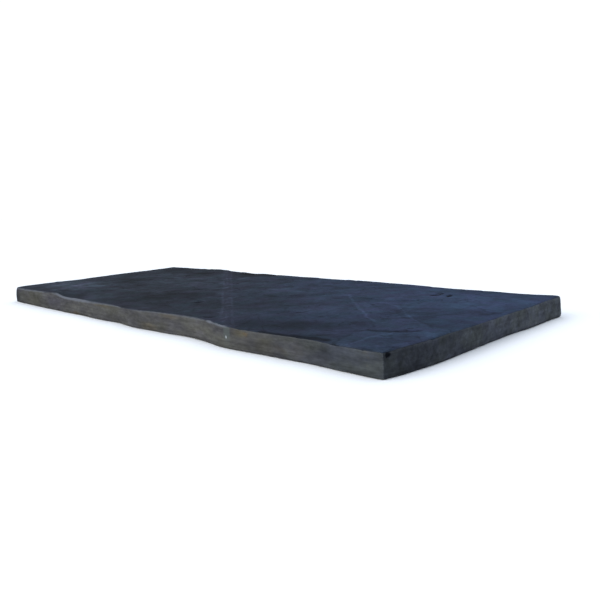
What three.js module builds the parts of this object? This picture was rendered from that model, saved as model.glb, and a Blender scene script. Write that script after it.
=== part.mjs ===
// Slate slab: one piece of riven stone with roughly squared edges, lying on its flat bed.
// Millimetres, +Z up. X runs along the slab, -Y is the front long edge, +X the right end.

import * as THREE from "three";
import { mergeVertices } from "three/addons/utils/BufferGeometryUtils.js";

// Driving dimensions
const LENGTH = 1000;
const WIDTH = 392;
const THICKNESS = 30;
const ARRIS = 0.7; // how far the sharp edges are worn back
const ARRIS_VARIES = 0.3; // how much more or less than that, from place to place
const ARRIS_SPREAD = 2.6; // how wide that wear runs for its depth
const CORNER_BLEND = 9; // within this of a corner both faces are worn back
const EDGE_REACH = 55; // how far in from an edge its waviness is felt
const RIM_REACH = 75; // how far in from an edge its rise or dip is felt
const VEIN_DROP = 0.9; // how far the riven face steps down to the right of the vein
const VEIN_SOFT = 10; // half the width of that step

// The grid that is bent into the slab: close lines near the edges, even ones between them
const CELLS_LONG = 44;
const CELLS_WIDE = 20;
const RIM_LINES = [0, 3, 8, 16]; // distance in from each edge
const LEVELS = [0, 3, 15, 27, THICKNESS]; // height of each line up an edge face

const HALF_LENGTH = LENGTH / 2;
const HALF_WIDTH = WIDTH / 2;

// Waviness of each edge: [place along it, how far it stands out]
const FRONT_EDGE = [
  [-500, 0], [-430, 2], [-240, 2], [-200, -0.5], [-120, 2], [-55, -1.5], [5, 4], [70, 0],
  [140, -3.5], [190, -2], [230, 5.5], [255, 5.5], [305, 2], [360, 0], [395, -4], [420, 0],
  [485, -0.5], [500, -2],
];
const BACK_EDGE = [
  [-480, -1.5], [-430, 1], [-340, 2], [-305, 5], [-240, 0], [-120, 0], [-75, -3], [-40, -3],
  [-10, 1], [140, 1], [350, -3], [385, -1], [430, -4], [480, 0],
];
const LEFT_EDGE = [
  [-185, 3], [-150, 4], [-110, 2], [-55, -2], [40, 1], [130, -2], [185, -3],
];
const RIGHT_EDGE = [
  [-190, -4.5], [-165, 0.5], [-110, 3.5], [-70, 1], [-5, -1.5], [50, -4], [100, -1],
  [150, -3.5], [180, -2],
];
const RIGHT_OVERHANG = [
  [-190, 0], [-165, -2], [-125, -1.5], [-40, 3], [45, 4], [95, 0.5], [145, 0], [180, -1.5],
];

// Rise of the riven face near each edge: [place along it, height above the mean]
const FRONT_RISE = [
  [-500, 0], [-430, 0.5], [-350, 2], [-280, 4], [-255, -1], [-55, -1], [65, 0], [205, 1],
  [230, -0.5], [380, 0], [460, -0.5], [500, 0],
];
const BACK_RISE = [
  [-475, -1], [-430, 0], [-370, 1], [-300, 1.5], [-255, 0.5], [60, 0.5], [105, 1.5],
  [225, 0.5], [270, -1], [450, -0.5], [485, 1],
];
const LEFT_RISE = [
  [-185, 0.5], [-110, 0], [-55, -1], [-10, -1], [40, -0.5], [145, -0.5], [180, 0.5],
];

// Broad, low waves of the riven face
const SWELLS = [
  { height: 0.35, alongX: 71, alongY: 97, shift: 1.3 },
  { height: 0.25, alongX: 43, alongY: -38, shift: 0 },
  { height: 0.2, alongX: 27, alongY: 61, shift: 2.2 },
];

// The vein crosses the slab from the front edge to the back edge
const VEIN_FRONT = new THREE.Vector2(250, -HALF_WIDTH);
const VEIN_BACK = new THREE.Vector2(-280, HALF_WIDTH);

// Rounding of the four upright corners
const CORNERS = [
  { x: -1, y: -1, radius: 9 },
  { x: 1, y: -1, radius: 3 },
  { x: 1, y: 1, radius: 5 },
  { x: -1, y: 1, radius: 15 },
];

// Chips knocked off the edges: centre on the edge, half length, depth
const TOP_CHIPS = [
  { x: -170, y: HALF_WIDTH, half: 26, depth: 1.2 },
  { x: -205, y: -HALF_WIDTH, half: 90, depth: 1.6 },
  { x: 475, y: -HALF_WIDTH, half: 14, depth: 1.2 },
  { x: HALF_LENGTH, y: -180, half: 9, depth: 1.4 },
  { x: -HALF_LENGTH, y: -60, half: 30, depth: 1.2 },
  { x: -HALF_LENGTH, y: -HALF_WIDTH, half: 22, depth: 2.4 },
];
const BOTTOM_CHIPS = [
  { x: 145, y: -HALF_WIDTH, half: 48, depth: 1.4 },
  { x: -55, y: -HALF_WIDTH, half: 14, depth: 1.6 },
  { x: HALF_LENGTH, y: 175, half: 18, depth: 1.5 },
  { x: -210, y: HALF_WIDTH, half: 34, depth: 3.2 },
  { x: 120, y: HALF_WIDTH, half: 48, depth: 2.4 },
  { x: -HALF_LENGTH, y: 70, half: 24, depth: 3 },
];

/** Value at a place on a smooth line through a list of points. */
function along(points, place) {
  const next = points.findIndex(([at]) => at >= place);
  if (next === 0) {
    return points[0][1];
  }
  if (next < 0) {
    return points.at(-1)[1];
  }
  const [fromPlace, fromValue] = points[next - 1];
  const [toPlace, toValue] = points[next];
  return THREE.MathUtils.lerp(
    fromValue, toValue, THREE.MathUtils.smoothstep(place, fromPlace, toPlace));
}

/** Moves an evenly spaced grid line to its place: the rim lines first, then even ones. */
function gridLine(even, half, cells) {
  const step = Math.round(((even / half + 1) / 2) * cells);
  const fromEnd = Math.min(step, cells - step);
  const side = step * 2 < cells ? -1 : 1;
  const lastRim = RIM_LINES.length - 1;
  if (fromEnd <= lastRim) {
    return side * (half - RIM_LINES[fromEnd]);
  }
  const inner = half - RIM_LINES[lastRim];
  const pitch = (2 * inner) / (cells - 2 * lastRim);
  return side * (inner - (fromEnd - lastRim) * pitch);
}

/** 1 at an edge, falling smoothly to 0 at the reach. */
function nearness(distance, reach) {
  return 1 - THREE.MathUtils.smoothstep(distance, 0, reach);
}

/** Rounds one upright corner by turning its square of the grid towards a quarter disc. */
function roundCorner(point, corner) {
  const square = RIM_LINES.at(-1);
  const alongX = 1 - (HALF_LENGTH - corner.x * point.x) / square;
  const alongY = 1 - (HALF_WIDTH - corner.y * point.y) / square;
  if (alongX <= 0 || alongY <= 0) {
    return;
  }
  const strength = corner.radius / square;
  const shrunkX = alongX * (1 - Math.sqrt(1 - alongY ** 2 / 2));
  const shrunkY = alongY * (1 - Math.sqrt(1 - alongX ** 2 / 2));
  point.x -= corner.x * shrunkX * square * strength;
  point.y -= corner.y * shrunkY * square * strength;
}

/** Height of the riven face above its mean. */
function riven(x, y) {
  const across = new THREE.Vector2().subVectors(VEIN_BACK, VEIN_FRONT).normalize();
  const rightOfVein = (x - VEIN_FRONT.x) * across.y - (y - VEIN_FRONT.y) * across.x;
  const step = 0.5 - THREE.MathUtils.smoothstep(rightOfVein, -VEIN_SOFT, VEIN_SOFT);
  const rims =
    along(FRONT_RISE, x) * nearness(HALF_WIDTH + y, RIM_REACH) +
    along(BACK_RISE, x) * nearness(HALF_WIDTH - y, RIM_REACH) +
    along(LEFT_RISE, y) * nearness(HALF_LENGTH + x, RIM_REACH);
  const swell = SWELLS.reduce(
    (sum, wave) => sum + wave.height * Math.sin(x / wave.alongX + y / wave.alongY + wave.shift), 0);
  return VEIN_DROP * step + rims + swell;
}

/** How deep an edge is worn or chipped at a place on the outline. */
function chipDepth(x, y, chips) {
  let depth = ARRIS + ARRIS_VARIES * Math.sin(x / 23 + y / 17);
  for (const chip of chips) {
    const away = Math.hypot(x - chip.x, y - chip.y) / chip.half;
    depth += chip.depth * nearness(away, 1);
  }
  return depth;
}

/** How far the right end stands out, more at its top than at its foot in places. */
function rightOut(y, up) {
  return along(RIGHT_EDGE, y) + up * along(RIGHT_OVERHANG, y);
}

/** Takes one point of the plain box to its place on the stone. */
function toStone(point) {
  const { x, y, z } = point;
  const up = z / THICKNESS;
  const sides = [
    { axis: "x", inwards: 1, distance: HALF_LENGTH + x, out: along(LEFT_EDGE, y) },
    { axis: "x", inwards: -1, distance: HALF_LENGTH - x, out: rightOut(y, up) },
    { axis: "y", inwards: 1, distance: HALF_WIDTH + y, out: along(FRONT_EDGE, x) },
    { axis: "y", inwards: -1, distance: HALF_WIDTH - y, out: along(BACK_EDGE, x) },
  ];
  const stone = new THREE.Vector3(x, y, z);

  CORNERS.forEach((corner) => roundCorner(stone, corner));
  for (const side of sides) {
    stone[side.axis] -= side.inwards * side.out * nearness(side.distance, EDGE_REACH);
  }
  stone.z += up * riven(x, y);

  const nearest = Math.min(...sides.map((side) => side.distance));
  for (const top of [true, false]) {
    const depth = chipDepth(x, y, top ? TOP_CHIPS : BOTTOM_CHIPS);
    const fromArris = nearest + (top ? THICKNESS - z : z);
    const bite = depth * Math.max(0, 1 - fromArris / (ARRIS_SPREAD * depth));
    stone.z += top ? -bite : bite;
    for (const side of sides.filter(({ distance }) => distance <= nearest + CORNER_BLEND)) {
      stone[side.axis] += side.inwards * bite;
    }
  }
  return stone;
}

/** The slab: a finely divided box whose points are moved onto the stone. */
function slabGeometry() {
  const box = new THREE.BoxGeometry(
    LENGTH, WIDTH, THICKNESS, CELLS_LONG, CELLS_WIDE, LEVELS.length - 1);
  box.deleteAttribute("uv");
  box.deleteAttribute("normal");
  const places = box.attributes.position;
  const point = new THREE.Vector3();
  for (let i = 0; i < places.count; i += 1) {
    point.fromBufferAttribute(places, i);
    const level = Math.round((point.z / THICKNESS + 0.5) * (LEVELS.length - 1));
    point.x = gridLine(point.x, HALF_LENGTH, CELLS_LONG);
    point.y = gridLine(point.y, HALF_WIDTH, CELLS_WIDE);
    point.z = LEVELS[level];
    places.setXYZ(i, ...toStone(point).toArray());
  }
  const stone = mergeVertices(box, 1e-3);
  stone.computeBoundingBox();
  const middle = stone.boundingBox.getCenter(new THREE.Vector3());
  stone.translate(-middle.x, -middle.y, -stone.boundingBox.min.z);
  stone.computeVertexNormals();
  return stone;
}

const slate = new THREE.MeshStandardMaterial({
  color: 0x3d434d,
  roughness: 0.68,
  metalness: 0,
});

const slab = new THREE.Mesh(slabGeometry(), slate);
slab.name = "slab";

const part = new THREE.Group();
part.add(slab);

export default part;
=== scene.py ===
"""A riven slate slab with dressed edges, a quartz vein and scuffed arrises that carry a painted
highlight, lying on a pale floor.
"""
import math

import bmesh
import bpy
from mathutils import Matrix, Vector


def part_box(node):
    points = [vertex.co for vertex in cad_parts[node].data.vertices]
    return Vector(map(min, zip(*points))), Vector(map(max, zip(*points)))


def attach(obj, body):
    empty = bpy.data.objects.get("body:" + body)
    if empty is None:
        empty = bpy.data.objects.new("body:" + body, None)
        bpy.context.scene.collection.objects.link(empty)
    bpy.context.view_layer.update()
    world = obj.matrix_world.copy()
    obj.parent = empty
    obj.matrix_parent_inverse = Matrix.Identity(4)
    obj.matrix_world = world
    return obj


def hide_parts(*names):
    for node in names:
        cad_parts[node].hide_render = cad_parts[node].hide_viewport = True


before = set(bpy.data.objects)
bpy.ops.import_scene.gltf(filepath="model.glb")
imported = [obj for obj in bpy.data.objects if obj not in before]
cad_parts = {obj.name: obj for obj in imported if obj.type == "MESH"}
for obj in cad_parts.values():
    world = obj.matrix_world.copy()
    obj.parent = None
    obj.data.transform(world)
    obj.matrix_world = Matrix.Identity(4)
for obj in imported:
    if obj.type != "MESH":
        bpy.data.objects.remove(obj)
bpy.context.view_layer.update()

MM = 0.001
LOW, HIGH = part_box("slab")
LENGTH, WIDTH = (HIGH - LOW).xy
FRONT = LOW.y
BACK = HIGH.y
FACE = LOW.z + 30 * MM  # mean height of the riven face

# The camera stands low, off the near front corner
CAMERA_AT = Vector((0.888, -0.6659, 0.1818))
CAMERA_AIM = Vector((-0.7233, 0.6727, -0.15625))  # the way it looks
CAMERA_ROLL = math.radians(-3.09)
LENS = 38.21
SENSOR = 36  # its width in millimetres, as the lens is

# The vein crosses the riven face and runs down the front edge face
VEIN_FRONT = (252 * MM, FRONT)
VEIN_BACK = (-280 * MM, BACK)
EDGE_VEIN_X = 249 * MM


def place_mm(x, y, z=None):
    """A point given in millimetres from the slab's middle; z defaults to the riven face."""
    return Vector((x * MM, y * MM, FACE if z is None else z * MM))


# The bright crystal in the vein, and a flake lost from the right end by the near corner
CRYSTAL_AT = place_mm(248, -203, 15.5)
CRYSTAL_HALF = (2.0 * MM, 3.4 * MM)
CHIP_AT = place_mm(496, -185, 25.5)
CHIP_HALF = 4 * MM


# ---------------------------------------------------------------- node bench


class Bench:
    """Lays nodes in one tree. A value may be a number, a vector or another node's socket."""

    def __init__(self, tree):
        self.tree = tree

    def feed(self, socket, value):
        if isinstance(value, bpy.types.NodeSocket):
            self.tree.links.new(value, socket)
        elif value is not None:
            socket.default_value = value

    def node(self, kind, feeds=None, **settings):
        made = self.tree.nodes.new(kind)
        for name, value in settings.items():
            setattr(made, name, value)
        for name, value in (feeds or {}).items():
            self.feed(made.inputs[name], value)
        return made

    def math(self, operation, *values, clamp=False):
        made = self.node("ShaderNodeMath", operation=operation, use_clamp=clamp)
        for socket, value in zip(made.inputs, values):
            self.feed(socket, value)
        return made.outputs[0]

    def total(self, *values):
        """Adds any number of values."""
        result = values[0]
        for value in values[1:]:
            result = self.math("ADD", result, value)
        return result

    def product(self, *values):
        """Multiplies any number of values."""
        result = values[0]
        for value in values[1:]:
            result = self.math("MULTIPLY", result, value)
        return result

    def vector(self, operation, *values, output="Vector"):
        made = self.node("ShaderNodeVectorMath", operation=operation)
        for socket, value in zip(made.inputs, values):
            self.feed(socket, value)
        return made.outputs[output]

    def dot(self, first, second):
        return self.vector("DOT_PRODUCT", first, second, output="Value")

    def noise(self, place, size, detail=2.0, roughness=0.5, seed=0.0, stretch=None):
        """Even noise from 0 to 1, in lumps about size metres across. Each use has its own seed."""
        if stretch:
            place = self.vector("MULTIPLY", place, stretch)
        feeds = {
            "Vector": place, "W": seed, "Scale": 1 / size, "Detail": detail,
            "Roughness": roughness,
        }
        return self.node("ShaderNodeTexNoise", feeds, noise_dimensions="4D").outputs[0]

    def wander(self, place, size, amount, seed=0.0):
        """The place, moved about by up to half of amount in each direction."""
        feeds = {"Vector": place, "W": seed, "Scale": 1 / size, "Detail": 2.0}
        field = self.node("ShaderNodeTexNoise", feeds, noise_dimensions="4D").outputs["Color"]
        centred = self.vector("SUBTRACT", field, (0.5, 0.5, 0.5))
        moved = self.vector("MULTIPLY", centred, (amount, amount, amount))
        return self.vector("ADD", place, moved)

    def ease(self, value, start, end):
        """0 at start and before, 1 at end and after, with a soft turn at both."""
        feeds = {"Value": value, "From Min": start, "From Max": end}
        made = self.node("ShaderNodeMapRange", feeds, interpolation_type="SMOOTHSTEP")
        return made.outputs["Result"]

    def scale(self, value, low, high):
        """Takes 0..1 to low..high."""
        feeds = {"Value": value, "To Min": low, "To Max": high}
        return self.node("ShaderNodeMapRange", feeds).outputs["Result"]

    def swing(self, value, amount):
        """Takes 0..1 to a factor around 1, from half of amount less to half of amount more."""
        return self.math("MULTIPLY_ADD", self.math("SUBTRACT", value, 0.5), amount, 1.0)

    def times(self, vector, *factors):
        """The colour or vector, multiplied by each factor."""
        for factor in factors:
            vector = self.node(
                "ShaderNodeVectorMath", {0: vector, "Scale": factor}, operation="SCALE").outputs[0]
        return vector

    def mix(self, share, first, second):
        """Mixes two colours."""
        made = self.node("ShaderNodeMix", data_type="RGBA")
        for name, value in (("Factor_Float", share), ("A_Color", first), ("B_Color", second)):
            socket = next(s for s in made.inputs if s.identifier == name)
            self.feed(socket, value)
        return next(s for s in made.outputs if s.identifier == "Result_Color")

    def blend(self, share, first, second):
        """Mixes two numbers."""
        made = self.node("ShaderNodeMix", {"Factor": share, "A": first, "B": second})
        return made.outputs["Result"]

    def tint(self, colour, share, first, second):
        """The colour, shifted towards one cast or the other."""
        return self.vector("MULTIPLY", colour, self.mix(share, (*first, 1), (*second, 1)))

    def apart(self, vector):
        made = self.node("ShaderNodeSeparateXYZ", {0: vector})
        return made.outputs["X"], made.outputs["Y"], made.outputs["Z"]


FLOAT = "NodeSocketFloat"
WHOLE = "NodeSocketInt"
VECTOR = "NodeSocketVector"
COLOUR = "NodeSocketColor"
GEOMETRY = "NodeSocketGeometry"
MATERIAL = "NodeSocketMaterial"


def new_tree(kind, name, takes, gives):
    """A bench on a new tree with named inputs and outputs, and the sockets at both its ends."""
    tree = bpy.data.node_groups.new(name, kind)
    for label, (socket_type, value) in takes.items():
        socket = tree.interface.new_socket(label, in_out="INPUT", socket_type=socket_type)
        if value is not None:
            socket.default_value = value
    for label, socket_type in gives.items():
        tree.interface.new_socket(label, in_out="OUTPUT", socket_type=socket_type)
    bench = Bench(tree)
    given = bench.node("NodeGroupInput").outputs
    ends = bench.node("NodeGroupOutput").inputs
    return bench, given, ends


def along_line(bench, place, start, end):
    """Share of the way from start to end, and the distance out to the left of that line."""
    run = Vector(end) - Vector(start)
    heading = run.normalized()
    left = Vector((-heading.y, heading.x))
    gone = bench.vector("SUBTRACT", place, (*start, 0.0))
    share = bench.math("DIVIDE", bench.dot(gone, (*heading, 0.0)), run.length)
    return share, bench.dot(gone, (*left, 0.0))


def within(bench, share, fade=0.15):
    """1 between the ends of a line, fading out towards them."""
    return bench.product(
        bench.ease(share, 0.0, fade), bench.ease(share, 1.0, 1.0 - fade))


def drawn_lines(bench, place, lines):
    """1 along each line of points, less where its strength is less, 0 away from them."""
    flat = bench.vector("MULTIPLY", place, (1.0, 1.0, 0.0))
    mask = 0.0
    for points, half_width, strength in lines:
        for start, end in zip(points, points[1:]):
            first = Vector((*start, 0)) * MM
            run = Vector((*end, 0)) * MM - first
            gone = bench.vector("SUBTRACT", flat, tuple(first))
            gone_along = bench.dot(gone, tuple(run))
            share = bench.math("DIVIDE", gone_along, run.length_squared, clamp=True)
            away = bench.vector("DISTANCE", gone, bench.times(tuple(run), share), output="Value")
            line = bench.ease(away, half_width * 1.7 * MM, half_width * 0.3 * MM)
            mask = bench.math("MAXIMUM", mask, bench.product(line, strength))
    return mask


def unsteady(bench, place):
    """The place, moved a little, so that drawn marks are not quite even."""
    return bench.wander(place, 16 * MM, 12 * MM, 26.0)


def hollow(bench, place, centre, long, short, turn):
    """1 in the middle of an oval hollow, 0 outside it."""
    angle = math.radians(turn)
    gone = bench.vector("SUBTRACT", place, tuple(centre))
    lengthways = bench.dot(gone, (math.cos(angle) / long, math.sin(angle) / long, 0.0))
    across = bench.dot(gone, (-math.sin(angle) / short, math.cos(angle) / short, 0.0))
    upright = bench.dot(gone, (0.0, 0.0, 1 / short))
    away = bench.math("SQRT", bench.total(
        *(bench.math("MULTIPLY", v, v) for v in (lengthways, across, upright))))
    return bench.ease(away, 1.0, 0.3)


# ---------------------------------------------------------------- the stone's shape

# Hollows where a grain or flake has dropped out, in mm:
# x, y, z, half length, half width, turn in degrees, depth
PITS = [
    (340, 120, 30, 11, 7, 50, 2.4),
    (340, 135, 30, 10, 4, 110, 1.6),
    (360, 125, 30, 11, 5, 110, 2.2),
    (55, -110, 30, 11, 6, 60, 2.0),
    (45, -100, 30, 7, 4, 60, 1.4),
    (-70, -15, 30, 12, 6, 60, 1.8),
    (-170, 185, 30, 30, 18, 0, 1.1),
    (-110, 185, 30, 42, 12, 0, 0.9),
    (-235, -125, 30, 9, 4, 30, 0.7),
    (-245, -45, 30, 9, 6, 40, 0.7),
    (-105, -90, 30, 8, 5, 40, 0.6),
    (185, -180, 31, 12, 5, 20, 1.2),
    (-310, -170, 32, 18, 8, 15, 1.1),
    (455, -95, 30, 5, 3, 30, 0.8),
    (470, -120, 30, 5, 3, 30, 0.8),
    (450, -115, 30, 6, 3, 30, 0.8),
    (495, -185, 26, 6, 4.5, 90, 1.6),
    (250, -204, 29, 5, 4, 0, 1.8),
]

# Broken edges of thin leaves: start, end, how high the leaf stands, how far back it tapers
LEAF_EDGES = [
    ((205 * MM, -175 * MM), (440 * MM, 5 * MM), 0.9 * MM, 55 * MM),
    ((-105 * MM, -95 * MM), (35 * MM, -30 * MM), 0.6 * MM, 60 * MM),
    ((-450 * MM, 10 * MM), (-285 * MM, -90 * MM), 0.6 * MM, 50 * MM),
    ((385 * MM, -150 * MM), (490 * MM, -90 * MM), 0.5 * MM, 40 * MM),
    ((-250 * MM, 60 * MM), (-60 * MM, 130 * MM), 0.6 * MM, 60 * MM),
    ((95 * MM, -35 * MM), (195 * MM, 55 * MM), 0.7 * MM, 50 * MM),
]

# Seams where a leaf has lifted, cut in as shallow grooves and darkened with painted shadow, in mm:
# points along the line, half width, strength
SHADOWED_SEAMS = [
    ([(375, -150), (400, -145), (420, -125)], 2.0, 0.4),
    ([(420, -125), (455, -115), (470, -100)], 3.5, 0.75),
    ([(310, -196), (360, -191), (410, -187)], 5.0, 0.9),
    ([(370, -190), (395, -165)], 3.0, 0.5),
    ([(430, -197), (485, -195)], 3.0, 0.7),
    ([(400, -55), (450, 15)], 3.5, 0.35),
    ([(205, -60), (220, -50)], 1.5, 0.7),
    ([(255, -95), (270, -75)], 1.5, 0.7),
    ([(-415, 160), (-395, 180), (-325, 190)], 5.0, 0.6),
    ([(330, 150), (335, 130)], 2.0, 0.6),
]
PLATE = 120 * MM  # usual breadth of one split plate


def leaf_edge(bench, place, start, end, height, taper):
    """Height of one thin leaf that ends at a broken line and tapers away on its left side."""
    share, left = along_line(bench, bench.wander(place, 45 * MM, 24 * MM, 3.0), start, end)
    body = bench.math("POWER", math.e, bench.math("DIVIDE", left, -taper))
    lip = bench.ease(left, -0.6 * MM, 1.2 * MM)
    return bench.product(height, lip, body, within(bench, share))


def split_plates(bench, place):
    """The thin plates the face split into: each one's own level, 0 to 1, and 1 along its rim."""
    flat = bench.vector("MULTIPLY", place, (0.75, 1.0, 0.0))
    bent = bench.wander(bench.wander(flat, 80 * MM, 80 * MM, 11.0), 14 * MM, 10 * MM, 12.0)
    feeds = {"Vector": bent, "Scale": 1 / PLATE}
    cells = bench.node("ShaderNodeTexVoronoi", feeds, voronoi_dimensions="2D")
    rims = bench.node(
        "ShaderNodeTexVoronoi", feeds, voronoi_dimensions="2D", feature="DISTANCE_TO_EDGE")
    level = bench.apart(cells.outputs["Color"])[0]
    return level, bench.ease(rims.outputs["Distance"], 0.035, 0.0)


def riven_relief(bench, place, size, seams):
    """Height of the cleaved face over its mean: plates, leaves, ripples, seams and broken edges."""
    level, _ = split_plates(bench, place)
    # A saw across evenly spaced levels of the noise: each tooth is one thin leaf
    bed = bench.noise(
        bench.wander(place, 60 * MM, 45 * MM, 1.0), 170 * MM, 3.0, 0.5, size["Seed"])
    part = bench.math("FRACT", bench.math("MULTIPLY", bed, size["Leaves"]))
    saw = bench.math("SUBTRACT", bench.ease(part, 0.0, 0.12), part)
    ripple = bench.noise(place, 26 * MM, 3.0, 0.55, 2.0)
    fret = bench.noise(place, 9 * MM, 2.0, 0.5, 4.0)
    heights = [
        bench.product(bench.math("SUBTRACT", level, 0.5), size["Plate Height"]),
        bench.product(saw, size["Leaf Height"]),
        bench.product(bench.math("SUBTRACT", ripple, 0.5), size["Ripple Height"]),
        bench.product(bench.math("SUBTRACT", fret, 0.5), size["Ripple Height"], 0.35),
        bench.product(seams, size["Seam Depth"], -1.0),
    ]
    heights += [leaf_edge(bench, place, *edge) for edge in LEAF_EDGES]
    heights.append(vein_relief(bench, place, size["Ripple Height"]))
    return bench.total(*heights)


def vein_relief(bench, place, height):
    """The hard vein stands a little proud, in beads."""
    bent = bench.wander(place, 30 * MM, 8 * MM, 5.0)
    _, left = along_line(bench, bent, VEIN_FRONT, VEIN_BACK)
    band = bench.ease(bench.math("ABSOLUTE", left), 8 * MM, 2 * MM)
    beads = bench.noise(place, 12 * MM, 2.0, 0.5, 6.0)
    return bench.product(band, beads, height)


def dressed_relief(bench, place, height):
    """Roughness of the dressed edge faces: broken lumps, and the beds showing as fine lines."""
    lumps = bench.math("SUBTRACT", bench.noise(place, 34 * MM, 3.0, 0.55, 7.0), 0.5)
    beds = bench.math(
        "SUBTRACT", bench.noise(place, 70 * MM, 3.0, 0.6, 8.0, (1.0, 1.0, 11.0)), 0.5)
    return bench.product(bench.total(bench.product(lumps, 1.2), beds), height)


def pit_depth(bench, place):
    """How deep a place lies in the hollows of dropped grains and flakes."""
    bent = bench.wander(place, 13 * MM, 9 * MM, 13.0)
    depths = []
    for x, y, z, long, short, turn, deep in PITS:
        pit = hollow(bench, bent, place_mm(x, y, z), long * MM, short * MM, turn)
        depths.append(bench.product(pit, deep * MM))
    return bench.total(*depths)


def mottle(bench, place, marks):
    """How much darker or lighter the oval marks make the face, as a factor around 1."""
    factors = []
    for x, y, long, short, turn, change in marks:
        patch = hollow(bench, place, place_mm(x, y), long * MM, short * MM, turn)
        factors.append(bench.math("MULTIPLY_ADD", patch, change, 1.0))
    return bench.product(*factors)


STONE_SIZES = {
    "Leaves": 9.0,
    "Plate Height": 1.1 * MM,
    "Leaf Height": 0.6 * MM,
    "Ripple Height": 0.9 * MM,
    "Seam Depth": 0.6 * MM,
    "Dressed Height": 0.9 * MM,
    "Arris Chips": 2.2 * MM,
    "Seed": 11.0,
}
FINENESS = 3  # halvings of each grid cell
FAR = 9.0  # well outside the slab
# the arrises' pale band stands for scuffs and a painted highlight
ARRIS_BAND_SPREAD = 26  # rounds of softening for the scuffed band along the arrises
# painted shade: hollows are painted darker with depth, fully black at this depth
FULL_SHADE_DEPTH = 0.9 * MM  # a hollow this deep has a black floor


def stone_tree():
    """Geometry nodes that turn the plain slab into riven stone."""
    sizes = {name: (FLOAT, value) for name, value in STONE_SIZES.items()}
    bench, given, ends = new_tree(
        "GeometryNodeTree", "riven stone",
        {"Geometry": (GEOMETRY, None), "Fineness": (WHOLE, FINENESS), **sizes,
         "Finish": (MATERIAL, None)},
        {"Geometry": GEOMETRY})
    size = {name: given[name] for name in sizes}

    fine = bench.node(
        "GeometryNodeSubdivisionSurface",
        {"Mesh": given["Geometry"], "Level": given["Fineness"]}).outputs["Mesh"]
    place = bench.node("GeometryNodeInputPosition").outputs[0]
    facing = bench.node("GeometryNodeInputNormal").outputs[0]
    upward = bench.apart(facing)[2]
    endways, frontways, steep = bench.apart(bench.vector("ABSOLUTE", facing))

    cleaved = bench.ease(upward, 0.45, 0.9)
    dressed = bench.ease(steep, 0.9, 0.4)
    top_arris = bench.product(bench.ease(upward, 0.1, 0.5), bench.ease(upward, 0.98, 0.8))
    low_arris = bench.product(bench.ease(upward, -0.05, -0.4), bench.ease(upward, -0.98, -0.8))
    off_bed = bench.ease(upward, -0.97, -0.8)

    pitted = pit_depth(bench, place)
    gnawed = bench.ease(bench.noise(place, 16 * MM, 3.0, 0.6, 9.0), 0.46, 0.72)
    sunk = bench.math("ADD", pitted, bench.product(
        gnawed, size["Arris Chips"], bench.math("ADD", top_arris, low_arris)))
    seams = drawn_lines(bench, unsteady(bench, place), SHADOWED_SEAMS)
    raised = bench.total(
        bench.product(riven_relief(bench, place, size, seams), cleaved),
        bench.product(dressed_relief(bench, place, size["Dressed Height"]), dressed))
    push = bench.times(facing, bench.math("SUBTRACT", raised, sunk), off_bed)
    moved = bench.vector("MAXIMUM", bench.vector("ADD", place, push), (-FAR, -FAR, LOW.z))

    worn = bench.node(
        "GeometryNodeBlurAttribute", {"Value": top_arris, "Iterations": ARRIS_BAND_SPREAD}).outputs[0]
    shaped = keep_masks(bench, fine, {
        "cleaved": cleaved,
        "worn": worn,
        "cloud": mottle(bench, bench.wander(place, 60 * MM, 60 * MM, 22.0), CLOUDS),
        # painted shadow along the seams
        "seam": seams,
        # painted shade: how near each hollow's floor is to full depth, read by the finish to paint
        # it black
        "sunk": bench.math("DIVIDE", pitted, FULL_SHADE_DEPTH, clamp=True),
        "end": bench.ease(endways, 0.6, 0.8),
        "corner": bench.product(bench.ease(endways, 0.25, 0.6), bench.ease(frontways, 0.25, 0.6)),
    })
    shaped = bench.node(
        "GeometryNodeSetPosition", {"Geometry": shaped, "Position": moved}).outputs[0]
    shaped = bench.node("GeometryNodeRealizeInstances", {"Geometry": shaped}).outputs[0]
    shaped = bench.node(
        "GeometryNodeSetMaterial", {"Geometry": shaped, "Material": given["Finish"]}).outputs[0]
    bench.feed(ends["Geometry"], shaped)
    return bench.tree


def keep_masks(bench, shape, masks):
    """The shape, with each mask kept on it under its name, for the finish to read."""
    for name, value in masks.items():
        shape = bench.node(
            "GeometryNodeStoreNamedAttribute",
            {"Geometry": shape, "Name": name, "Value": value}).outputs[0]
    return shape


def plain_slab():
    """The CAD slab as one quad-faced skin, ready to be divided."""
    work = bmesh.new()
    work.from_mesh(bpy.data.objects["slab"].data)
    bmesh.ops.remove_doubles(work, verts=work.verts, dist=0.01 * MM)
    bmesh.ops.join_triangles(
        work, faces=work.faces, angle_face_threshold=math.pi, angle_shape_threshold=math.pi)
    skin = bpy.data.meshes.new("plain_slab")
    work.to_mesh(skin)
    work.free()
    piece = bpy.data.objects.new("plain_slab", skin)
    bpy.context.scene.collection.objects.link(piece)
    return piece


MOST_TRIANGLES = 190_000


def as_plain_mesh(piece, name):
    """The evaluated piece as a new object with an ordinary mesh."""
    seen = piece.evaluated_get(bpy.context.evaluated_depsgraph_get())
    mesh = bpy.data.meshes.new_from_object(seen)
    mesh.name = name
    plain = bpy.data.objects.new(name, mesh)
    bpy.context.scene.collection.objects.link(plain)
    bpy.data.objects.remove(piece, do_unlink=True)
    return plain


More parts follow.
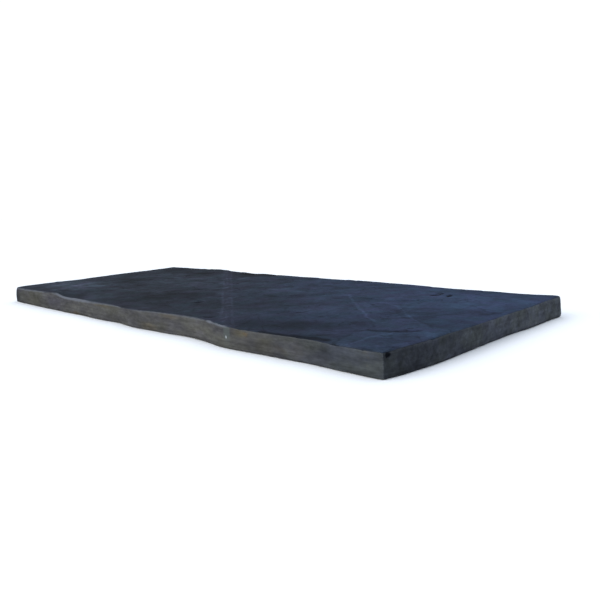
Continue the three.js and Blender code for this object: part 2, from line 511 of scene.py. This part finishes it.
def riven_slab(finish):
    """The stone itself: the plain slab, finely divided, riven on top and dressed at its edges."""
    piece = plain_slab()
    tree = stone_tree()
    riving = piece.modifiers.new("riving", "NODES")
    riving.node_group = tree
    chosen = {"Fineness": FINENESS, "Finish": finish, **STONE_SIZES}
    for socket in tree.interface.items_tree:
        if socket.name in chosen:
            riving[socket.identifier] = chosen[socket.name]
    stone = as_plain_mesh(piece, "riven_slab")
    triangles = sum(len(face.vertices) - 2 for face in stone.data.polygons)
    if triangles > MOST_TRIANGLES:
        thin = stone.modifiers.new("thin", "DECIMATE")
        thin.ratio = MOST_TRIANGLES / triangles
        stone = as_plain_mesh(stone, "slate_slab")
    stone.data.shade_smooth()
    lay_out_skin(stone.data)
    return stone


SKIN_MARGIN = 0.01  # bare ground around the flat layout, as a share of its width
TOP_GAP = 12 * MM  # and between its parts: past the top,
BED_GAP = 14 * MM  # past the bed
STRIP_GAP = 16 * MM  # and past each strip


def lay_out_skin(mesh):
    """Gives the mesh a flat layout: the top, the bed, then the edge faces as strips.

    The long strips have a row each. The two end strips share the last row.
    """
    layout = mesh.uv_layers.new(name="OFBake")
    across = (1 - 2 * SKIN_MARGIN) / LENGTH
    top_row = SKIN_MARGIN - FRONT * across
    bed_row = top_row + (WIDTH + TOP_GAP) * across
    strip_row = bed_row + (BACK + BED_GAP) * across
    strip_step = (HIGH.z + STRIP_GAP) * across
    for face in mesh.polygons:
        facing = face.normal
        upright = abs(facing.z) < 0.5
        along_x = abs(facing.y) > abs(facing.x)
        for loop in face.loop_indices:
            x, y, z = mesh.vertices[mesh.loops[loop].vertex_index].co
            if not upright:
                row = top_row if facing.z > 0 else bed_row
                spot = (0.5 + x * across, row + y * across)
            elif along_x:
                row = strip_row + (strip_step if facing.y > 0 else 0)
                spot = (0.5 + x * across, row + z * across)
            else:
                shift = 0.25 if facing.x > 0 else -0.25
                spot = (0.5 + shift + y * across, strip_row + 2 * strip_step + z * across)
            layout.data[loop].uv = spot


# ---------------------------------------------------------------- finishes

SLATE_GREY = (0.0170, 0.0208, 0.0282, 1)
# painted reflection: the blue the riven face turns towards on the right and at the back, standing
# in for reflected blue sky
REFLECTED_SKY_BLUE = (0.0197, 0.0302, 0.0562, 1)
EDGE_GREY = (0.0680, 0.0670, 0.0660, 1)
EDGE_TEAL = (0.0470, 0.0520, 0.0590, 1)
# partly painted shade: the end faces are darker and bluer than the front, for their own darker
# stone and for the shade and blue skylight on the right end
END_DARK_STONE_AND_SHADE = (0.0258, 0.0292, 0.0350, 1)
END_PALE = (0.0640, 0.0710, 0.0820, 1)
OLIVE = (0.0570, 0.0550, 0.0450, 1)
MAUVE = (0.0620, 0.0600, 0.0700, 1)
OCHRE = (0.0820, 0.0690, 0.0460, 1)
RUST = (0.1300, 0.0850, 0.0400, 1)
BONE = (0.0900, 0.0870, 0.0860, 1)
BROWN = (0.0500, 0.0460, 0.0370, 1)
# painted shade for the rounded far-left corner of the front edge face
CORNER_SHADE = (0.0300, 0.0320, 0.0350, 1)
# pale of the scuffed arrises, partly a painted highlight
ARRIS_WEAR_AND_HIGHLIGHT = (0.1250, 0.1330, 0.1520, 1)
VEIN_VIOLET = (0.0225, 0.0235, 0.0370, 1)
VEIN_PALE = (0.0850, 0.1000, 0.0950, 1)
CRYSTAL = (0.6000, 0.6400, 0.6600, 1)
# painted shade for the floors of hollows
PIT_SHADE = (0.0030, 0.0040, 0.0060, 1)
TEAL_CAST = (0.93, 1.04, 1.0)
VIOLET_CAST = (1.08, 0.95, 1.04)
GREEN_CAST = (1.02, 1.02, 0.91)
MAUVE_CAST = (0.99, 0.98, 1.05)
SHEEN = 0.05  # specular level of the dry stone
GRAIN_HEIGHT = 0.6 * MM  # how far the fine grain stands

# Broad soft patches on the riven face, in mm:
# x, y, half length, half width, turn in degrees, darker (-) or lighter (+)
CLOUDS = [
    (-30, -85, 120, 60, 15, -0.38),
    (140, -90, 110, 60, 10, -0.20),
    (300, -155, 110, 40, 20, -0.38),
    (410, -185, 90, 34, 5, -0.05),
    (-360, -10, 120, 40, -20, -0.30),
    (-360, 150, 170, 60, -8, -0.36),
    (-160, 175, 110, 30, -3, -0.45),
    (-200, 40, 190, 70, -18, 0.27),
    (-390, -115, 160, 80, -10, 1.05),
    (425, 80, 160, 120, 0, 0.30),
    (300, -20, 120, 60, 40, 0.20),
    (455, -110, 60, 50, 0, 0.15),
    (60, 130, 130, 60, -20, 0.15),
]

# Small marks on the riven face, laid out in the same way
SPOTS = [
    (-345, -175, 24, 9, 0, 0.9),
    (-365, -115, 28, 14, 10, 0.5),
    (-285, 140, 40, 20, 25, -0.6),
    # painted shade: the next two marks darken the notch in the back edge
    (-165, 185, 38, 32, 0, -0.95),
    (-110, 190, 78, 20, 0, -0.90),
    (-120, 110, 16, 10, 40, 0.5),
    (-60, 70, 14, 8, 40, 0.4),
    (300, 20, 40, 10, 40, 0.25),
    (200, 45, 46, 12, 42, 0.3),
    (430, -30, 30, 12, 60, -0.2),
]

# Thin healed fissures, laid out as the seams are
FISSURES = [
    ([(220, 60), (300, -10), (365, -65), (390, -80)], 2.2, 0.55),
    ([(315, 30), (345, 20), (385, -15), (435, -55)], 2.0, 0.4),
    ([(445, -190), (445, -140), (470, -90)], 1.8, 0.4),
    ([(40, 40), (75, 45), (150, 45)], 4.0, 0.3),
]

# Stains on the front edge face, and painted shade at its rounded far-left corner, in mm: x, z, half
# length, half height, colour, share
STAINS = [
    # painted shade: darkens the rounded far-left corner
    (-485, 14, 20, 26, CORNER_SHADE, 0.75),
    (-470, 27, 26, 7, MAUVE, 0.7),
    (-395, 13, 60, 18, OLIVE, 0.7),
    (-295, 14, 50, 18, MAUVE, 0.8),
    (-205, 2, 26, 5, OCHRE, 0.7),
    (-100, 27, 40, 6, OCHRE, 0.55),
    (-160, 16, 26, 14, MAUVE, 0.5),
    (50, 7, 30, 8, OCHRE, 0.5),
    (105, 27, 30, 6, OCHRE, 0.5),
    (90, 14, 18, 16, OLIVE, 0.4),
    (180, 14, 34, 18, BONE, 0.35),
    (275, 24, 20, 7, OCHRE, 0.45),
    (285, 25, 7, 4, RUST, 0.35),
    (320, 14, 26, 16, OLIVE, 0.8),
    (345, 10, 14, 8, BROWN, 0.6),
    (370, 14, 16, 14, MAUVE, 0.6),
]

# Pale scuffs and painted highlight along the front arris, in mm: x, half length, strength
SCUFFS_AND_HIGHLIGHTS = [
    (-440, 60, 0.35),
    (-390, 90, 0.45),
    (-215, 95, 0.80),
    (-90, 70, 0.45),
    (70, 90, 0.25),
    (165, 40, 0.30),
    (225, 30, 1.0),
]

# Pale strands within the vein: distance left of its middle, half width, strength, noise seed
VEIN_STRANDS = [
    (8 * MM, 3.0 * MM, 0.40, 34.0),
    (1 * MM, 2.4 * MM, 0.25, 35.0),
    (-7 * MM, 2.6 * MM, 0.40, 38.0),
]


def use_group(bench, group, feeds):
    return bench.node("ShaderNodeGroup", feeds, node_tree=group).outputs


def cleaved_group():
    """Colour, fine height and roughness of the riven face."""
    bench, given, ends = new_tree(
        "ShaderNodeTree", "cleaved face",
        {"Place": (VECTOR, None), "Pit Shade": (FLOAT, 0.0), "Cloud": (FLOAT, 1.0),
         "Seam": (FLOAT, 0.0)},
        {"Color": COLOUR, "Height": FLOAT, "Roughness": FLOAT})
    place = given["Place"]
    # painted reflection: the riven face grows bluer towards the right end and the back, a painted
    # reflection of blue sky
    drift = bench.noise(place, 130 * MM, 3.0, 0.55, 21.0)
    reach = bench.math("MULTIPLY_ADD", drift, 0.3, bench.dot(place, (1.0, 1.0, 0.0)))
    tone = bench.mix(bench.ease(reach, -0.06, 0.76), SLATE_GREY, REFLECTED_SKY_BLUE)
    unsure = unsteady(bench, place)
    tone = bench.times(tone, given["Cloud"], mottle(bench, unsure, SPOTS))
    cast = bench.noise(place, 34 * MM, 4.0, 0.65, 27.0)
    tone = bench.tint(tone, bench.ease(cast, 0.38, 0.62), TEAL_CAST, VIOLET_CAST)

    level, rim = split_plates(bench, place)
    lifted = bench.ease(bench.noise(place, 50 * MM, 2.0, 0.5, 28.0), 0.45, 0.62)
    drifts = bench.noise(place, 52 * MM, 3.0, 0.6, 29.0, (0.8, 1.0, 1.0))
    streaks = bench.noise(place, 24 * MM, 5.0, 0.7, 23.0, (0.8, 1.0, 1.0))
    flecks = bench.noise(place, 6 * MM, 3.0, 0.65, 24.0)
    # painted shade: dark lines in the shadow of lifted seams, along the rims of lifted plates and
    # along the thinnest leaves' edges
    dark = bench.total(
        bench.product(given["Seam"], 0.8),
        bench.product(rim, lifted, 0.25),
        bench.product(thread_mask(bench, place), 0.4))
    pale = bench.product(fissure_mask(bench, unsure), 0.9)
    bold = bench.ease(bench.apart(place)[0], 0.35, -0.15)
    tone = bench.times(
        tone, bench.swing(level, 0.2), bench.swing(drifts, bench.scale(bold, 0.9, 1.7)),
        bench.swing(streaks, bench.scale(bold, 2.0, 3.2)), bench.swing(flecks, 0.9),
        bench.math("SUBTRACT", 1.0, dark, clamp=True), bench.math("ADD", pale, 1.0))
    tone = vein_tone(bench, place, tone)
    # painted shade: the floors of the hollows are painted near black
    tone = bench.mix(given["Pit Shade"], tone, PIT_SHADE)
    bench.feed(ends["Color"], tone)

    grain = bench.noise(place, 2.2 * MM, 3.0, 0.6, 25.0)
    bench.feed(ends["Height"], bench.total(
        bench.product(grain, 0.3), bench.product(flecks, 0.6), bench.product(streaks, 1.2),
        bench.product(level, 0.6)))
    bench.feed(ends["Roughness"], bench.scale(streaks, 0.6, 0.85))
    return bench.tree


def thread_mask(bench, place):
    """Fine dark threads, where the edges of the thinnest leaves catch no light."""
    winding = bench.noise(place, 60 * MM, 3.0, 0.6, 36.0, (0.7, 1.0, 1.0))
    off_level = bench.math("ABSOLUTE", bench.math("SUBTRACT", winding, 0.5))
    broken = bench.ease(bench.noise(place, 30 * MM, 2.0, 0.5, 37.0), 0.46, 0.6)
    return bench.product(bench.ease(off_level, 0.014, 0.003), broken)


def fissure_mask(bench, place):
    """Where a thin healed fissure shows as a pale line."""
    broken = bench.scale(bench.noise(place, 14 * MM, 2.0, 0.5, 32.0), 0.2, 1.5)
    return bench.product(drawn_lines(bench, place, FISSURES), broken)


def vein_tone(bench, place, tone):
    """The tone, with the vein as a faint band, broken pale strands and beads of quartz."""
    bent = bench.wander(place, 110 * MM, 14 * MM, 33.0)
    _, left = along_line(bench, bent, VEIN_FRONT, VEIN_BACK)
    away = bench.math("ABSOLUTE", left)
    band = bench.ease(away, 14 * MM, 4 * MM)
    tone = bench.mix(bench.product(band, 0.4), tone, VEIN_VIOLET)
    pale = []
    for offset, half_width, strength, seed in VEIN_STRANDS:
        aside = bench.math("ABSOLUTE", bench.math("SUBTRACT", left, offset))
        strand = bench.ease(aside, half_width, half_width * 0.3)
        seen = bench.ease(bench.noise(place, 42 * MM, 3.0, 0.6, seed), 0.40, 0.62)
        pale.append(bench.product(strand, seen, strength))
    beads = bench.ease(bench.noise(place, 12 * MM, 2.0, 0.6, 39.0, (1.4, 0.5, 1.0)), 0.55, 0.7)
    pale.append(bench.product(bench.ease(away, 24 * MM, 5 * MM), beads, 1.0))
    return bench.times(tone, bench.math("ADD", bench.total(*pale), 1.0))


def dressed_group():
    """Colour, fine height and roughness of the dressed edge faces."""
    bench, given, ends = new_tree(
        "ShaderNodeTree", "dressed edge",
        {"Place": (VECTOR, None), "Pit Shade": (FLOAT, 0.0), "End": (FLOAT, 0.0)},
        {"Color": COLOUR, "Height": FLOAT, "Roughness": FLOAT})
    place = given["Place"]
    x, y, z = bench.apart(place)
    drift = bench.noise(place, 80 * MM, 2.0, 0.5, 41.0)
    to_right = bench.ease(bench.math("MULTIPLY_ADD", drift, 0.2, x), 0.36, 0.52)
    tone = bench.mix(to_right, EDGE_GREY, EDGE_TEAL)
    tone = front_stains(bench, place, tone)
    # partly painted shade: the end faces take a darker, bluer stone, darker towards the front and
    # paler towards the back
    to_back = bench.ease(bench.math("MULTIPLY_ADD", drift, 0.12, y), -0.14, 0.20)
    tone = bench.mix(given["End"], tone, bench.mix(to_back, END_DARK_STONE_AND_SHADE, END_PALE))

    cast = bench.noise(place, 26 * MM, 4.0, 0.65, 42.0, (0.4, 1.0, 1.0))
    tone = bench.tint(tone, bench.ease(cast, 0.36, 0.64), GREEN_CAST, MAUVE_CAST)
    rust = bench.ease(bench.noise(place, 22 * MM, 3.0, 0.65, 43.0), 0.62, 0.76)
    in_front = bench.math("SUBTRACT", 1.0, given["End"])
    tone = bench.mix(bench.product(rust, 0.35, in_front), tone, OCHRE)

    blotch = bench.noise(place, 15 * MM, 5.0, 0.68, 44.0, (0.3, 1.0, 1.0))
    flecks = bench.noise(place, 5 * MM, 3.0, 0.65, 46.0, (0.4, 1.0, 1.0))
    beds = bench.noise(place, 60 * MM, 4.0, 0.65, 45.0, (1.0, 1.0, 14.0))
    low = bench.scale(bench.ease(z, 16 * MM, 3 * MM), 0.9, 1.7)
    tone = bench.times(
        tone, bench.swing(blotch, bench.scale(given["End"], 1.8, 2.4)), bench.swing(beds, low),
        bench.swing(flecks, bench.scale(given["End"], 1.1, 1.3)))

    tone = edge_vein(bench, place, tone)
    # painted shade: the lost flake's hollow and the pits are painted near black
    chip = hollow(bench, place, CHIP_AT, CHIP_HALF, CHIP_HALF, 0)
    tone = bench.mix(bench.math("MAXIMUM", given["Pit Shade"], chip), tone, PIT_SHADE)
    bench.feed(ends["Color"], tone)
    grain = bench.noise(place, 2.0 * MM, 3.0, 0.65, 47.0)
    bench.feed(ends["Height"], bench.total(
        bench.product(grain, 0.3), bench.product(blotch, 0.7), bench.product(beds, 0.8)))
    bench.feed(ends["Roughness"], bench.scale(blotch, 0.75, 0.95))
    return bench.tree


def near_front(bench, place):
    """1 on the front edge face."""
    return bench.ease(bench.apart(place)[1], FRONT + 30 * MM, FRONT + 15 * MM)


def front_stains(bench, place, tone):
    """The tone, with the front edge face's soft mineral stains, and painted shade at its rounded
    far-left corner.
    """
    front = near_front(bench, place)
    blurred = bench.wander(place, 14 * MM, 12 * MM, 49.0)
    for x, z, long, tall, colour, share in STAINS:
        gone = bench.vector("SUBTRACT", blurred, (x * MM, 0.0, z * MM))
        reach = bench.vector("MULTIPLY", gone, (1 / (long * MM), 0.0, 1 / (tall * MM)))
        stain = bench.ease(bench.vector("LENGTH", reach, output="Value"), 1.1, 0.2)
        tone = bench.mix(bench.product(front, stain, share), tone, colour)
    return tone


def edge_vein(bench, place, tone):
    """The tone, with the vein's faint pale band down the front edge face and one bright crystal."""
    x, _, z = bench.apart(bench.wander(place, 12 * MM, 4 * MM, 48.0))
    from_line = bench.math("ABSOLUTE", bench.math("SUBTRACT", x, EDGE_VEIN_X))
    high = bench.scale(bench.ease(z, 8 * MM, 18 * MM), 0.15, 0.6)
    front = near_front(bench, place)
    band = bench.product(front, bench.ease(from_line, 8 * MM, 4 * MM), high)
    crystal = hollow(bench, place, CRYSTAL_AT, *CRYSTAL_HALF, 0)
    return bench.mix(
        bench.product(front, crystal), bench.mix(band, tone, VEIN_PALE), CRYSTAL)


def scuff_and_highlight_mask(bench, place, worn, corner):
    """Where the arrises are painted pale, for scuffs and a painted highlight: most along the left
    half of the front one.
    """
    x = bench.apart(bench.wander(place, 30 * MM, 20 * MM, 53.0))[0]
    rubbed = 0.0
    for middle, half, strength in SCUFFS_AND_HIGHLIGHTS:
        away = bench.math("ABSOLUTE", bench.math("SUBTRACT", x, middle * MM))
        scuff = bench.ease(away, half * MM, half * 0.5 * MM)
        rubbed = bench.math("MAXIMUM", rubbed, bench.product(scuff, strength))
    flaked = bench.noise(place, 9 * MM, 3.0, 0.65, 52.0)
    band = bench.ease(bench.math("MULTIPLY_ADD", flaked, 0.5, worn), 0.36, 0.75)
    along = bench.math("MULTIPLY_ADD", near_front(bench, place), rubbed, 0.08)
    upright = bench.product(bench.ease(flaked, 0.45, 0.6), corner, 0.35)
    return bench.math("ADD", bench.product(band, along), upright, clamp=True)


def slate_finish():
    """The stone's one finish: cleaved on top, dressed at the edges, paler along the arrises for
    scuffs and a painted highlight.
    """
    finish = bpy.data.materials.new("riven slate")
    finish.use_nodes = True
    tree = finish.node_tree
    tree.nodes.clear()
    bench = Bench(tree)
    place = bench.node("ShaderNodeTexCoord").outputs["Object"]
    masks = {
        name: bench.node("ShaderNodeAttribute", attribute_name=name).outputs["Fac"]
        for name in ("cleaved", "worn", "cloud", "seam", "sunk", "end", "corner")
    }
    top = use_group(bench, cleaved_group(), {
        "Place": place, "Pit Shade": masks["sunk"], "Cloud": masks["cloud"], "Seam": masks["seam"]})
    edge = use_group(
        bench, dressed_group(), {"Place": place, "Pit Shade": masks["sunk"], "End": masks["end"]})
    ragged = bench.math("ADD", masks["cleaved"], bench.product(
        bench.math("SUBTRACT", bench.noise(place, 8 * MM, 3.0, 0.6, 51.0), 0.5), 0.8))
    on_top = bench.ease(ragged, 0.35, 0.65)
    colour = bench.mix(on_top, edge["Color"], top["Color"])
    scuff_and_highlight = scuff_and_highlight_mask(bench, place, masks["worn"], masks["corner"])
    # partly painted highlight: the arrises are painted pale, for scuffs and for light caught along
    # them
    colour = bench.mix(scuff_and_highlight, colour, ARRIS_WEAR_AND_HIGHLIGHT)
    rough = bench.blend(on_top, edge["Roughness"], top["Roughness"])
    height = bench.blend(on_top, edge["Height"], top["Height"])
    bump = bench.node(
        "ShaderNodeBump", {"Height": height, "Strength": 0.8, "Distance": GRAIN_HEIGHT})
    shader = bench.node("ShaderNodeBsdfPrincipled", {
        "Base Color": colour, "Roughness": rough, "Normal": bump.outputs[0],
        "Specular IOR Level": SHEEN})
    ends = bench.node("ShaderNodeOutputMaterial")
    bench.feed(ends.inputs["Surface"], shader.outputs[0])
    return finish


# ---------------------------------------------------------------- the room


def plain_finish(name, colour, roughness):
    finish = bpy.data.materials.new(name)
    finish.use_nodes = True
    shader = finish.node_tree.nodes["Principled BSDF"]
    shader.inputs["Base Color"].default_value = (*colour, 1)
    shader.inputs["Roughness"].default_value = roughness
    return finish


FLOOR_HALF = 30.0
FLOOR_TONE = (0.88, 0.88, 0.88)


def pale_floor():
    """A broad pale floor under the slab."""
    turns = [(-1, -1), (1, -1), (1, 1), (-1, 1)]
    mesh = bpy.data.meshes.new("floor")
    mesh.from_pydata(
        [(x * FLOOR_HALF, y * FLOOR_HALF, LOW.z) for x, y in turns], [], [(0, 1, 2, 3)])
    floor = bpy.data.objects.new("floor", mesh)
    mesh.materials.append(plain_finish("pale floor", FLOOR_TONE, roughness=1.0))
    bpy.context.scene.collection.objects.link(floor)


def soft_sun(name, from_side, strength, softness, colour):
    """A broad soft light from far off, the same all over the floor; softness in degrees."""
    lamp = bpy.data.lights.new(name, "SUN")
    lamp.energy = strength
    lamp.angle = math.radians(softness)
    lamp.color = colour
    piece = bpy.data.objects.new(name, lamp)
    piece.rotation_euler = Vector(from_side).to_track_quat("Z", "Y").to_euler()
    bpy.context.scene.collection.objects.link(piece)


ROOM_LOW = 0.16  # glow of the room near the floor
ROOM_HIGH = 1.45  # and overhead
ROOM_SEEN = 1.2  # how bright the room looks behind the slab
ROOM_TINT = (0.88, 0.96, 1.08, 1)


def studio_room():
    """Pale surroundings: plain white to look at, and a glow that grows towards the ceiling."""
    world = bpy.data.worlds.new("studio")
    world.use_nodes = True
    bench = Bench(world.node_tree)
    glow = world.node_tree.nodes["Background"]
    glow.inputs["Color"].default_value = ROOM_TINT
    upward = bench.apart(bench.node("ShaderNodeTexCoord").outputs["Generated"])[2]
    ceiling = bench.scale(bench.ease(upward, 0.1, 0.85), ROOM_LOW, ROOM_HIGH)
    looked_at = bench.node("ShaderNodeLightPath").outputs["Is Camera Ray"]
    bench.feed(glow.inputs["Strength"], bench.blend(looked_at, ceiling, ROOM_SEEN))
    bpy.context.scene.world = world


def studio():
    studio_room()
    soft_sun(
        "key", from_side=(-0.45, -1.0, 0.55), strength=1.5, softness=50, colour=(1.0, 0.98, 0.94))
    view = bpy.context.scene.view_settings
    view.view_transform = "Standard"
    view.look = "None"


def camera():
    eye = bpy.data.cameras.new("camera")
    eye.lens = LENS
    eye.sensor_width = SENSOR
    eye.clip_start = 0.01
    piece = bpy.data.objects.new("camera", eye)
    level = CAMERA_AIM.to_track_quat("-Z", "Y").to_matrix().to_4x4()
    turned = level @ Matrix.Rotation(CAMERA_ROLL, 4, "Z")
    piece.matrix_world = Matrix.Translation(CAMERA_AT) @ turned
    bpy.context.scene.collection.objects.link(piece)
    bpy.context.scene.camera = piece


camera()
studio()
pale_floor()
slab = riven_slab(slate_finish())
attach(slab, "root")
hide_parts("slab")
